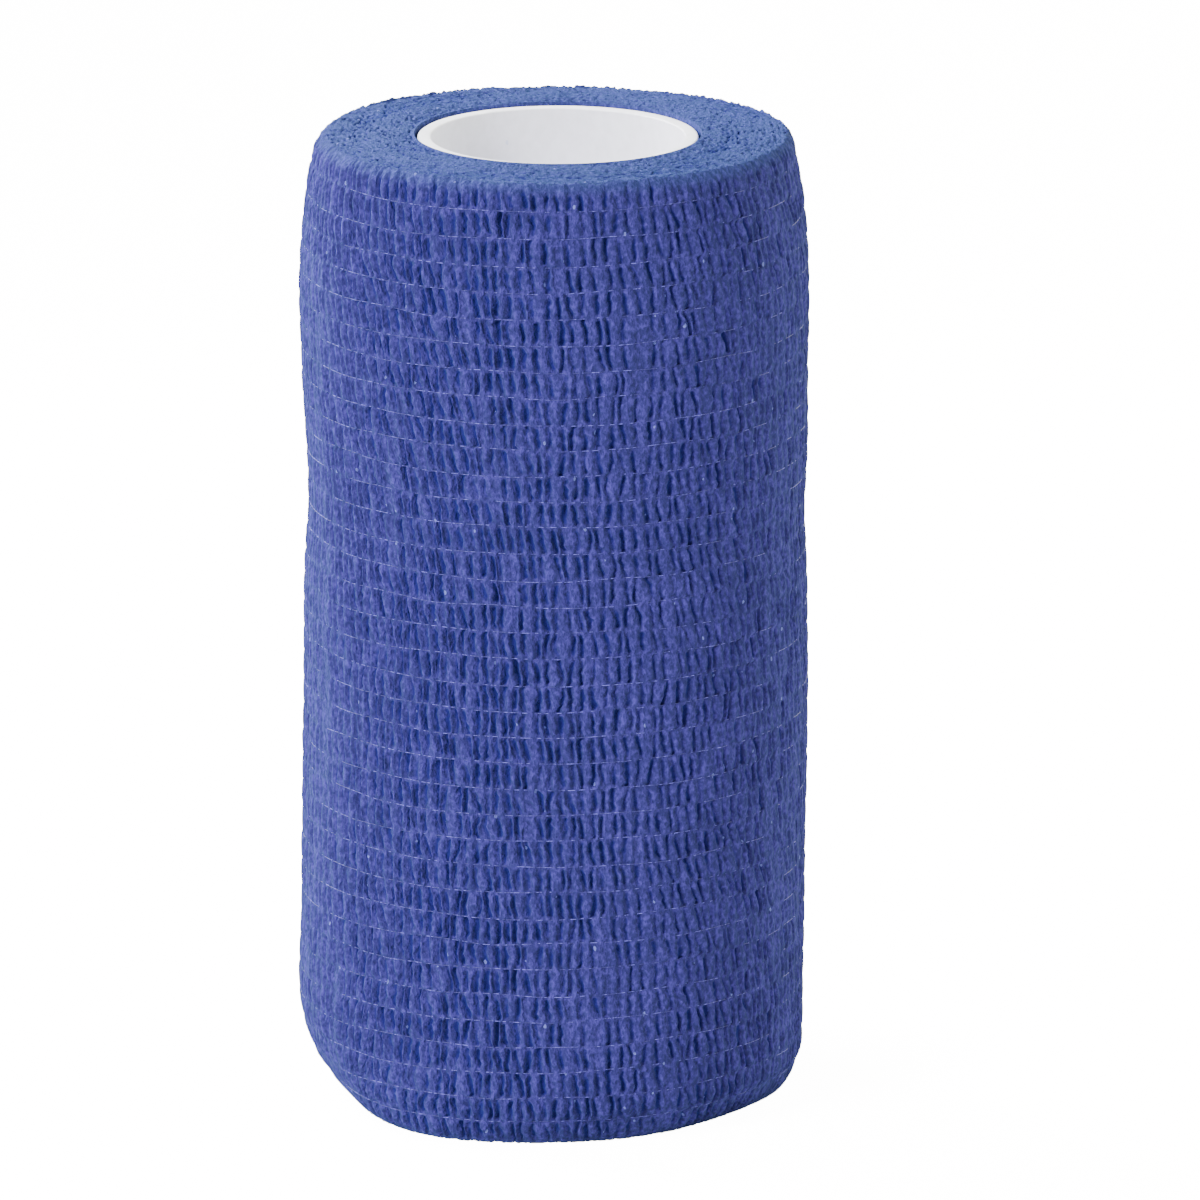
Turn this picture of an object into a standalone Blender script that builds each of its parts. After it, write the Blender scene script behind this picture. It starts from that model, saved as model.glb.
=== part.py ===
"""Cohesive bandage roll: crinkled elastic cloth wound on a plastic core, standing on its end.

Metres, +Z up. The origin is the middle of the base that the roll stands on, -Y is its front.
Two pieces: the wound cloth, which is one solid of its wound form, and the core tube in it.
"""

import math
from collections import namedtuple

import bmesh
import bpy
import numpy as np

MM = 0.001

# Driving dimensions of the wound cloth.
CLOTH_WIDTH = 0.1000  # the cloth's width is the height of the standing roll
BLANK_RADIUS = 0.0258  # the roll before its uneven outline is given to it
THREAD_COUNT = 36  # elastic threads that run round the roll, one below the other
THREAD_DENT = 0.00025  # how far each thread draws the cloth in
TURN_GROUPS = 5  # groups of turns that show as rings on the upper end face
GROUP_GROOVE = 0.00028  # how far the face drops between two groups
LAP_STEP = 0.00066  # thickness of the last turn, where its cut end lies on the turn below
LAP_ANGLE = math.radians(103.5)  # the cut end is at the back
LAP_HALF_WIDTH = math.radians(0.8)  # half of the angle over which the cut end steps down
LAP_FADE = math.radians(75.0)  # past this angle from the cut end it no longer lifts the outline

# Driving dimensions of the core tube.
CORE_OUTER_RADIUS = 0.0143
CORE_BORE_RADIUS = 0.0127
CORE_INSET = 0.0003  # the tube ends this far inside each end face of the cloth
CORE_BEVEL = 0.0006  # the bore's edge is cut back by this much at both ends
CORE_RIM_ROUND = 0.0002  # the outer edge of the tube's ends
CORE_OFF_CENTRE = 0.0004  # the core sits a little to the right of the roll's middle
SEAT_GAP = 0.0003  # between the tube and the first turn of the cloth

TURNED_STEPS = 40  # facets of everything turned about the roll's axis
COLUMN_ANGLE = 2.0 * math.pi / TURNED_STEPS
EDGE_ROWS = (0.0002, 0.0005, 0.0009)  # more rows of points this far from each end of the cloth
SHARP_EDGE = math.radians(38.0)

HOLE_RADIUS = CORE_OUTER_RADIUS + SEAT_GAP
THREAD_PITCH = CLOTH_WIDTH / (THREAD_COUNT + 1)

# The roll's outline without its ends: how far its side lies from the middle at each height,
# to the right, back, left and front. All are in millimetres.
Section = namedtuple("Section", "height right back left front")
OUTLINE = (
    Section(0.0, 25.6, 25.8, 26.4, 25.8),
    Section(12.0, 25.6, 25.8, 26.4, 25.8),
    Section(19.0, 25.7, 25.8, 26.1, 25.8),
    Section(30.0, 25.8, 25.7, 25.9, 25.7),
    Section(44.0, 26.0, 25.7, 25.7, 25.8),
    Section(54.0, 25.9, 25.6, 25.6, 25.7),
    Section(61.0, 25.5, 25.3, 25.1, 25.3),
    Section(66.0, 25.8, 25.4, 25.2, 25.4),
    Section(73.0, 25.9, 25.6, 25.6, 25.7),
    Section(82.0, 25.9, 25.8, 25.9, 25.8),
    Section(100.0, 25.9, 25.8, 25.9, 25.8),
)

# How each end is rounded: over the last `height` millimetres the side is drawn in, by `inset`
# millimetres at the end itself. Directions go round from the right, by way of the back.
Edge = namedtuple("Edge", "direction inset height")
BASE_EDGE = (
    Edge(0.0, 2.0, 6.0),
    Edge(90.0, 2.9, 7.0),
    Edge(195.0, 4.5, 12.0),
    Edge(243.0, 1.5, 4.0),
    Edge(280.0, 2.7, 6.0),
    Edge(322.0, 3.6, 6.0),
)
TOP_EDGE = (
    Edge(15.0, 0.5, 1.6),
    Edge(90.0, 2.0, 2.2),
    Edge(160.0, 1.1, 2.0),
    Edge(270.0, 0.6, 1.6),
)
EDGE_POWER = 2.4  # how sharply the rounding of an end turns in
TOP_TAPER = 0.0017  # the roll also narrows evenly towards its upper end
TOP_TAPER_HEIGHT = 0.016

CLOTH_COLOUR = (0.062, 0.098, 0.402, 1.0)
CORE_COLOUR = (0.86, 0.86, 0.88, 1.0)


def clear_scene():
    for obj in list(bpy.data.objects):
        bpy.data.objects.remove(obj, do_unlink=True)


def new_collection(name):
    collection = bpy.data.collections.new(name)
    bpy.context.scene.collection.children.link(collection)
    return collection


def new_material(name, colour, roughness):
    material = bpy.data.materials.new(name)
    material.use_nodes = True
    shader = material.node_tree.nodes["Principled BSDF"]
    shader.inputs["Base Color"].default_value = colour
    shader.inputs["Roughness"].default_value = roughness
    shader.inputs["Metallic"].default_value = 0.0
    return material


def turned_object(name, profile):
    """An object whose closed profile of (radius, height) points is turned about the Z axis."""
    mesh = bpy.data.meshes.new(name)
    outline = bmesh.new()
    points = [outline.verts.new((radius, 0.0, height)) for radius, height in profile]
    for point, following in zip(points, points[1:] + points[:1]):
        outline.edges.new((point, following))
    outline.to_mesh(mesh)
    outline.free()
    obj = bpy.data.objects.new(name, mesh)
    bpy.context.scene.collection.objects.link(obj)
    screw = obj.modifiers.new("turned", "SCREW")
    screw.axis = "Z"
    screw.angle = 2.0 * math.pi
    screw.steps = TURNED_STEPS
    screw.render_steps = TURNED_STEPS
    screw.use_merge_vertices = True
    screw.merge_threshold = 0.00001
    return obj


def as_plain_mesh(obj):
    """The object with its modifiers made part of its mesh."""
    bpy.context.view_layer.update()
    evaluated = obj.evaluated_get(bpy.context.evaluated_depsgraph_get())
    mesh = bpy.data.meshes.new_from_object(evaluated)
    obj.modifiers.clear()
    obj.data = mesh
    return obj


def finish(obj, material, collection):
    """Gives the object its material and shading, and moves it to the part's collection."""
    obj.data.materials.clear()
    obj.data.materials.append(material)
    for owner in list(obj.users_collection):
        owner.objects.unlink(obj)
    collection.objects.link(obj)


def blank_profile():
    """The wound cloth's section before the outline is given to it, down its outer side first.

    The outer side bulges between the threads, the upper face has a groove between each two
    groups of turns, and the lower face is flat.
    """
    top = CLOTH_WIDTH
    profile = [(BLANK_RADIUS, top)]
    profile += [(BLANK_RADIUS, top - depth) for depth in EDGE_ROWS]
    for thread in range(THREAD_COUNT):
        thread_height = top - (thread + 1) * THREAD_PITCH
        profile.append((BLANK_RADIUS, thread_height + 0.5 * THREAD_PITCH))
        profile.append((BLANK_RADIUS - THREAD_DENT, thread_height))
    profile.append((BLANK_RADIUS, 0.5 * THREAD_PITCH))
    profile += [(BLANK_RADIUS, depth) for depth in reversed(EDGE_ROWS)]
    profile.append((BLANK_RADIUS, 0.0))
    profile.append((HOLE_RADIUS, 0.0))
    profile.append((HOLE_RADIUS, top))
    group_width = (BLANK_RADIUS - HOLE_RADIUS) / TURN_GROUPS
    for group in range(TURN_GROUPS - 1):
        groove_radius = HOLE_RADIUS + (group + 1) * group_width
        profile.append((groove_radius - 0.5 * group_width, top))
        profile.append((groove_radius, top - GROUP_GROOVE))
    return profile


def eased_round(angle, directions, values):
    """The value at this angle, turning smoothly from each direction's value to the next one's."""
    degrees = math.degrees(angle)
    following = next((i for i, direction in enumerate(directions) if direction > degrees), 0)
    start = directions[following - 1]
    span = (directions[following] - start) % 360.0
    share = ((degrees - start) % 360.0) / span
    eased = 0.5 - 0.5 * math.cos(math.pi * share)
    return values[following - 1] + (values[following] - values[following - 1]) * eased


def drawn_in(edge_rows, angle, from_end):
    """How far the rounding of an end draws the side in, this far from that end."""
    directions = [row.direction for row in edge_rows]
    inset = eased_round(angle, directions, [row.inset * MM for row in edge_rows])
    height = eased_round(angle, directions, [row.height * MM for row in edge_rows])
    return inset * max(0.0, 1.0 - from_end / height) ** EDGE_POWER


def outline_radius(angle, height):
    """How far the roll's side lies from the middle at this angle and height."""
    heights = [row.height * MM for row in OUTLINE]
    sides = [
        np.interp(height, heights, [getattr(row, side) * MM for row in OUTLINE])
        for side in ("right", "back", "left", "front")
    ]
    radius = eased_round(angle, (0.0, 90.0, 180.0, 270.0), sides)
    from_top = CLOTH_WIDTH - height
    radius -= TOP_TAPER * max(0.0, 1.0 - from_top / TOP_TAPER_HEIGHT) ** 2
    return radius - drawn_in(BASE_EDGE, angle, height) - drawn_in(TOP_EDGE, angle, from_top)


def lap_rise(angle):
    """How far the last turn's cut end lifts the outline at this angle, or the turn below drops it."""
    from_lap = (angle - LAP_ANGLE + math.pi) % (2.0 * math.pi) - math.pi
    nearness = max(0.0, 1.0 - abs(from_lap) / LAP_FADE)
    return math.copysign(0.5 * LAP_STEP * nearness**2, from_lap)


def drawn_to_lap(angle):
    """The angle of a column of points: the two on either side of the cut end are drawn to it."""
    from_lap = angle - LAP_ANGLE
    if abs(from_lap) > 0.6 * COLUMN_ANGLE:
        return angle
    return LAP_ANGLE + math.copysign(LAP_HALF_WIDTH, from_lap)


def give_outline(obj):
    """Moves each point of the turned blank outwards or inwards, to the tables' outline.

    A point keeps its share of the wall's thickness, so that the hole stays round.
    """
    blank_wall = BLANK_RADIUS - HOLE_RADIUS
    for vertex in obj.data.vertices:
        x, y, height = vertex.co
        share = (math.hypot(x, y) - HOLE_RADIUS) / blank_wall
        angle = drawn_to_lap(math.atan2(y, x) % (2.0 * math.pi))
        wall = outline_radius(angle, height) + lap_rise(angle) - HOLE_RADIUS
        radius = HOLE_RADIUS + share * wall
        vertex.co.x = radius * math.cos(angle) + CORE_OFF_CENTRE * (1.0 - share)
        vertex.co.y = radius * math.sin(angle)


def build_cloth(collection):
    cloth = as_plain_mesh(turned_object("bandage_roll", blank_profile()))
    give_outline(cloth)
    cloth.data.shade_smooth()
    cloth.data.set_sharp_from_angle(angle=SHARP_EDGE)
    finish(cloth, new_material("crinkled_cloth", CLOTH_COLOUR, 0.9), collection)


def build_core(collection):
    """The tube that the cloth is wound on, with its bore's edges cut back at both ends."""
    low = CORE_INSET
    high = CLOTH_WIDTH - CORE_INSET
    profile = [
        (CORE_OUTER_RADIUS - CORE_RIM_ROUND, high),
        (CORE_OUTER_RADIUS, high - CORE_RIM_ROUND),
        (CORE_OUTER_RADIUS, low + CORE_RIM_ROUND),
        (CORE_OUTER_RADIUS - CORE_RIM_ROUND, low),
        (CORE_BORE_RADIUS + CORE_BEVEL, low),
        (CORE_BORE_RADIUS, low + CORE_BEVEL),
        (CORE_BORE_RADIUS, high - CORE_BEVEL),
        (CORE_BORE_RADIUS + CORE_BEVEL, high),
    ]
    core = as_plain_mesh(turned_object("core_tube", profile))
    core.location.x = CORE_OFF_CENTRE
    core.data.shade_smooth()
    core.data.set_sharp_from_angle(angle=SHARP_EDGE)
    finish(core, new_material("white_plastic", CORE_COLOUR, 0.35), collection)


def main():
    clear_scene()
    collection = new_collection("cohesive_bandage_roll")
    build_cloth(collection)
    build_core(collection)


main()
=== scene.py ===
"""Looks of a cohesive bandage roll: crinkled cloth with elastic threads, wound on a plastic core.

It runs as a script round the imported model. Lengths are in metres and +Z is up. The wound cloth is
one long grid of points: its rows run round the roll, from the middle of the hole down to the base,
up the side and over the top back into the hole. Its columns start and stop at the cut end of the
cloth, at the back, and follow the folds that the crinkled cloth has between its threads.
"""

import math

import bpy
import numpy as np
from bpy.props import FloatProperty, FloatVectorProperty, IntProperty, PointerProperty
from bpy.types import Operator, Panel, PropertyGroup
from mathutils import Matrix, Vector


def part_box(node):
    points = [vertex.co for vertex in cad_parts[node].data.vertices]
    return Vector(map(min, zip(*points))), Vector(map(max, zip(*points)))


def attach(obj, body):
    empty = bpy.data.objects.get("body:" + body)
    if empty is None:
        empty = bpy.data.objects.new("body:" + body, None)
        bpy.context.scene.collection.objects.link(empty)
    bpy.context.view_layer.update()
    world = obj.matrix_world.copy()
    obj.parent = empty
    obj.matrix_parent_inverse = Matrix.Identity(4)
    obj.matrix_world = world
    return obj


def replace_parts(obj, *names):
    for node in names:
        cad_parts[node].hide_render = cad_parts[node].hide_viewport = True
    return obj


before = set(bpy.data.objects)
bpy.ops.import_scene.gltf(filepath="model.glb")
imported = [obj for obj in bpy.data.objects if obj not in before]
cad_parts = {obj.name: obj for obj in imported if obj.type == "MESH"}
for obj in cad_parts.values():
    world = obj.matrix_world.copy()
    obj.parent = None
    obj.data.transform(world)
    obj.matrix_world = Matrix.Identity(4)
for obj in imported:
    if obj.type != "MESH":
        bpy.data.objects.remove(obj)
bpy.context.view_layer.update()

bl_info = {
    "name": "Cohesive bandage roll",
    "version": (1, 0, 0),
    "blender": (4, 5, 0),
    "location": "View3D > Sidebar > Bandage",
    "description": "Makes the crinkled cloth, threads, core and studio of a bandage roll",
    "category": "Object",
}

BODY = "root"
CLOTH_NODE = "bandage_roll"
CORE_NODE = "core_tube"

CLOTH_LOW, CLOTH_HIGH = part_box(CLOTH_NODE)
CORE_LOW, CORE_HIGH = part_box(CORE_NODE)
ROLL_HEIGHT = CLOTH_HIGH.z - CLOTH_LOW.z
CORE_RADIUS = 0.5 * (CORE_HIGH.y - CORE_LOW.y)
CORE_CENTRE_X = 0.5 * (CORE_HIGH.x + CORE_LOW.x)
SEAT_GAP = CORE_LOW.z  # the same small gap parts the core from the cloth and from its end faces
HOLE_RADIUS = CORE_RADIUS + SEAT_GAP

FULL_TURN = 2.0 * math.pi
LAP_ANGLE = math.radians(103.5)  # where the cut end of the cloth lies on the turn below it
GROOVE_FLOOR = ROLL_HEIGHT - 0.00028  # height of the bottom of the rings in the solid's top
SIDE_NORMAL_LIMIT = 0.995  # a face that looks up or down more than this is part of an end face
OUTLINE_ANGLES = 1440
SAME_PLACE = 1e-6  # points nearer to each other than this are one point

CELL_ROWS = (0.0, 0.06, 0.17, 0.33, 0.5, 0.67, 0.83, 0.94)  # rows of points between two threads
# Columns across a fold: place in half widths from its centre line, and share of its depth there.
FOLD_COLUMNS = ((-1.0, 0.08), (-0.45, 0.6), (0.0, 0.95), (0.45, 1.0), (1.0, 0.3))
# Columns on the rib beside a fold: share of the way to the next fold, and of the rib's height.
CROWN_COLUMNS = ((0.26, 0.84), (0.55, 1.0), (0.83, 0.8))
THREAD_COLUMNS = slice(3, -1, 4)  # the middle of each fold and the top of each rib
# Depth of the folds round the roll: share of the way round from the cut end, and of the depth.
DEPTH_AROUND = (
    (0.00, 0.85), (0.10, 0.80), (0.18, 0.75), (0.23, 0.50), (0.27, 0.42), (0.29, 0.62),
    (0.315, 0.94), (0.38, 1.01), (0.44, 0.98), (0.50, 0.83), (0.56, 0.67), (0.59, 0.52),
    (0.62, 0.38), (0.67, 0.40), (0.71, 0.60), (0.75, 0.85), (0.88, 0.80), (1.00, 0.85),
)
ZONE_STRAY = 0.022  # how far those places stray over the height, as a share of the way round
# How much of a thread shows: share of the way round from the cut end, and share that shows there.
THREAD_SHOWS = (
    (0.00, 0.95), (0.18, 0.85), (0.22, 0.25), (0.285, 0.15), (0.31, 0.90), (0.44, 0.90),
    (0.54, 0.70), (0.59, 0.20), (0.66, 0.12), (0.725, 0.06), (0.78, 0.90), (1.00, 0.95),
)
# Height of a thread over the cloth: how free it lies, and its height in radii of the thread.
THREAD_STANDS = ((-1.9, -2.4), (-0.8, -0.6), (-0.3, 0.1), (0.5, 0.5), (1.9, 0.9))
# Tilt of the threads: share of the roll's height, and how far a thread there rises to the right.
THREAD_TILT = ((0.0, 0.00062), (0.3, 0.00022), (0.65, 0.0), (0.8, 0.00010), (1.0, 0.00048))
THREAD_WAVER = 0.00016  # how far a thread strays up and down
LEVEL_PITCHES = 2.0  # threads nearer to an end than this many pitches level out towards it
UPPER_LEFT = 0.36  # share of the way round from the cut end where the lines of folds bend aside
RIGHT_OF_MIDDLE = 0.62  # and where the folds lean most
# Random relief: the seed, and the cells round the roll and up its side or out over its end face.
NOISES = {
    "thread_waver": (11, 26, 37),
    "fold_sway": (21, 9, 6),
    "fold_patches": (23, 26, 16),
    "depth_zones": (25, 5, 11),
    "pebbles": (31, 430, 270),
    "fine_pebbles": (32, 900, 560),
    "side_sag": (33, 19, 12),
    "turn_stray": (41, 230, 12),
    "end_grain": (42, 260, 30),
    "fine_end_grain": (43, 528, 50),
    "end_swell": (44, 14, 3),
    "thread_freedom": (61, 60, 37),
    "fine_thread_freedom": (62, 170, 37),
    "core_waver": (71, 7, 3),
}
TOP_SEEDS = 10  # what the upper end face adds to the seeds of the base's
FOLD_SEED = 5
SIDE_PIECES = ("cloth_side_lower", "cloth_side_middle", "cloth_side_upper", "cloth_side_top")


# --- What a user would change ---


def length(name, description, default, precision=5):
    """A length that a user can set."""
    return FloatProperty(
        name=name, description=description, default=default, unit="LENGTH", precision=precision
    )


def colour(name, description, default):
    """A colour that a user can set."""
    return FloatVectorProperty(name=name, description=description, default=default, subtype="COLOR")


class RollCrinkle(PropertyGroup):
    fold_count: IntProperty(
        name="Folds", description="Places round the roll where a fold may open", default=146, min=24
    )
    fold_share: FloatProperty(
        name="Open folds", description="Share of those places where a fold is open",
        default=0.96, min=0.0, max=1.0, subtype="FACTOR",
    )
    fold_depth: length("Fold depth", "Depth of a middling fold", 0.00047)
    fold_half_width: length("Fold half width", "Half of the width of a middling fold", 0.00034)
    rib_height: length("Rib height", "How far the cloth stands up between two folds", 0.00019)
    sway: length("Sway", "How far a line of folds strays sideways over the roll", 0.0008)
    pebble: length("Pebble", "Height of the small lumps on the ribs", 0.00007)


class RollThreads(PropertyGroup):
    count: IntProperty(
        name="Threads", description="Elastic threads that run round the roll", default=36, min=1
    )
    radius: length("Radius", "Radius of an elastic thread", 0.000045, precision=6)
    dent: length("Dent", "How far a thread draws the cloth in", 0.00008)
    tail: length("Tail", "How far a thread sticks out at the cut end of the cloth", 0.0007)


class RollEnds(PropertyGroup):
    turns: IntProperty(
        name="Turns", description="Turns of cloth from the core outwards", default=17, min=1
    )
    turn_gap: length("Gap depth", "Depth of the gap between two turns on an end face", 0.00016)
    pit_depth: length(
        "Pit depth", "Depth of the pits between the crinkled edges of two turns", 0.00040
    )


class RollColours(PropertyGroup):
    crown: colour("Ribs", "Colour of the cloth where it stands up", (0.0236, 0.0166, 0.108))
    # Painted shade: the Folds colour is painted deep in the folds and in the end faces' pits, where
    # shade falls.
    fold: colour("Folds", "Colour of the cloth deep in its folds", (0.0102, 0.0056, 0.092))
    # Partly painted light: the cut edges' own colour, made paler and greener as a top face lit from
    # above with sheen looks.
    end_grain: colour(
        "Cut edges", "Colour of the cloth's edges on the roll's two ends", (0.0252, 0.0268, 0.121)
    )
    thread: colour("Threads", "Colour of the elastic threads", (0.090, 0.085, 0.38))
    core: colour("Core", "Colour of the plastic core", (0.92, 0.925, 0.99))
    # Painted shade: the Bore colour is a darker grey painted on the core's inner wall, where shade
    # falls inside the tube.
    bore: colour(
        "Bore", "Colour of the core's inner wall, which is duller than its ends", (0.79, 0.79, 0.87)
    )


class RollStage(PropertyGroup):
    camera_distance: length(
        "Camera distance", "How far the camera stands in front of the roll's axis", 1.4
    )
    camera_height: length("Camera height", "How high the camera stands above the floor", 0.410)
    aim_height: length("Aim height", "Height on the roll's axis that the camera looks at", 0.0510)
    aim_side: length(
        "Aim to the side", "How far to the right of the roll's axis the camera looks", 0.00466
    )
    lens: FloatProperty(
        name="Lens", description="Focal length of the camera, in millimetres", default=423.6
    )


# --- Smooth and random values ---


def eased(share):
    """A share from 0 to 1 that starts and ends softly."""
    share = np.clip(share, 0.0, 1.0)
    return share * share * (3.0 - 2.0 * share)


def looked_up(table, place):
    """The value at this place in a table of places and values."""
    return np.interp(place, *np.array(table).T)


def blended(grid, row, left, right, along, rise):
    """Values between four neighbours in a grid, in this row and the next and in two columns."""
    lower = grid[row, left] * (1.0 - along) + grid[row, right] * along
    upper = grid[row + 1, left] * (1.0 - along) + grid[row + 1, right] * along
    return lower * (1.0 - rise) + upper * rise


def soft_noise(kind, across, up, more_seed=0):
    """Smooth random relief from -1 to 1. across and up run from 0 to 1, and across wraps."""
    seed, columns, rows = NOISES[kind]
    lattice = np.random.default_rng(seed + more_seed).uniform(-1.0, 1.0, (rows + 2, columns))
    x = np.mod(across, 1.0) * columns
    y = np.clip(up, 0.0, 1.0) * rows
    column = np.floor(x).astype(int)
    row = np.floor(y).astype(int)
    left = column % columns
    right = (column + 1) % columns
    return blended(lattice, row, left, right, eased(x - column), eased(y - row))


def random_shifts(rng, spread, limit, like):
    """Random lengths about zero, none further from it than the limit, one for each item of like."""
    return np.clip(rng.normal(0.0, spread, like.shape), -limit, limit)


# --- The roll's outline, read from the solid ---


def node_triangles(node):
    """The corners of a node's triangles, as an array of triangle, corner and coordinate."""
    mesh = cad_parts[node].data
    mesh.calc_loop_triangles()
    places = np.empty(len(mesh.vertices) * 3)
    mesh.vertices.foreach_get("co", places)
    corners = np.empty(len(mesh.loop_triangles) * 3, dtype=int)
    mesh.loop_triangles.foreach_get("vertices", corners)
    return places.reshape(-1, 3)[corners].reshape(-1, 3, 3)


def from_cut_end(angle):
    """An angle about the roll's axis, counted from the cut end of the cloth."""
    return (angle - LAP_ANGLE) % FULL_TURN


class Outline:
    """The side of the wound cloth's solid: its radius at any angle from the cut end and height.

    The rows of points where the solid's threads draw it in are left out, because the threads and
    their dents are made anew here.
    """

    HOLE_LIMIT = 1.05  # a triangle nearer to the axis than this many hole radii is in the hole
    GROOVE_REACH = 1e-5  # a point this close to the grooves' floor is on it
    SAME_LEVEL = 2e-6  # points of one level differ in height by less than this
    AT_THREAD = 0.01  # a level this close to a thread, in pitches, is that thread's own

    def __init__(self, thread_count):
        triangles = node_triangles(CLOTH_NODE)
        normals = np.cross(triangles[:, 1] - triangles[:, 0], triangles[:, 2] - triangles[:, 0])
        upright = np.abs(normals[:, 2]) < SIDE_NORMAL_LIMIT * np.linalg.norm(normals, axis=1)
        from_axis = np.hypot(triangles[..., 0], triangles[..., 1]).min(axis=1)
        grooved = (np.abs(triangles[..., 2] - GROOVE_FLOOR) < self.GROOVE_REACH).any(axis=1)
        chosen = upright & (from_axis > self.HOLE_LIMIT * HOLE_RADIUS) & ~grooved
        points = np.unique(triangles[chosen].reshape(-1, 3).round(7), axis=0)
        pitch = ROLL_HEIGHT / (thread_count + 1)
        levels = np.unique(points[:, 2].round(6))
        in_pitches = levels / pitch
        at_thread = np.abs(in_pitches - np.round(in_pitches)) < self.AT_THREAD
        at_thread &= (levels > 0.5 * pitch) & (levels < ROLL_HEIGHT - 0.5 * pitch)
        self.levels = levels[~at_thread]
        self.angles = np.linspace(0.0, FULL_TURN, OUTLINE_ANGLES + 1)
        self.radii = np.array([self.ring(points, level) for level in self.levels])

    def ring(self, points, level):
        """The radius at each of self.angles on one level of the solid's points.

        Where two points lie at one angle, the outer one is on the side, the other on an end face.
        """
        own = points[np.abs(points[:, 2] - level) < self.SAME_LEVEL]
        angles = from_cut_end(np.arctan2(own[:, 1], own[:, 0])).round(3)
        angles, column = np.unique(angles, return_inverse=True)
        radii = np.zeros(len(angles))
        np.maximum.at(radii, column, np.hypot(own[:, 0], own[:, 1]))
        return np.interp(self.angles, angles, radii)

    def radius(self, angle, height):
        """The radius at these angles and heights, which are arrays of one shape."""
        row = np.clip(np.searchsorted(self.levels, height) - 1, 0, len(self.levels) - 2)
        low = self.levels[row]
        up = np.clip((height - low) / (self.levels[row + 1] - low), 0.0, 1.0)
        place = np.clip(angle / FULL_TURN, 0.0, 1.0) * OUTLINE_ANGLES
        column = np.minimum(place.astype(int), OUTLINE_ANGLES - 1)
        return blended(self.radii, row, column, column + 1, place - column, up)


# --- Threads and folds ---


def crinkled(across, up):
    """How strongly the cloth is crinkled at this share of the way round from the cut end and up."""
    return looked_up(DEPTH_AROUND, across + ZONE_STRAY * soft_noise("depth_zones", across, up))


def thread_height(threads, line, angle):
    """Height of a thread at this angle from the cut end. The first and last line are the ends."""
    pitch = ROLL_HEIGHT / (threads.count + 1)
    share = line / (threads.count + 1)
    to_end = eased(np.minimum(share, 1.0 - share) * (threads.count + 1) / LEVEL_PITCHES)
    tilt = looked_up(THREAD_TILT, share) * np.cos(angle + LAP_ANGLE)
    waver = soft_noise("thread_waver", angle / FULL_TURN, share + 0.0 * angle)
    return line * pitch + to_end * (tilt + THREAD_WAVER * waver)


def upper_left(across, up, width, start, rise):
    """1 at the side's upper left and softly down to 0 at this width and below this start."""
    return eased(1.0 - np.abs(across - UPPER_LEFT) / width) * eased((up - start) / rise)


def lean_of_cells(across, up):
    """How far the folds lean within one cell: half of the shift from its top to its bottom."""
    least, more = 0.00007, 0.00016
    full_width, fade = 0.02, 0.12
    from_right = eased((np.abs(across - RIGHT_OF_MIDDLE) - full_width) / fade)
    at_left = upper_left(across, up, width=0.14, start=0.45, rise=0.3)
    return least + more * (1.0 - from_right) + more * at_left


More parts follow.
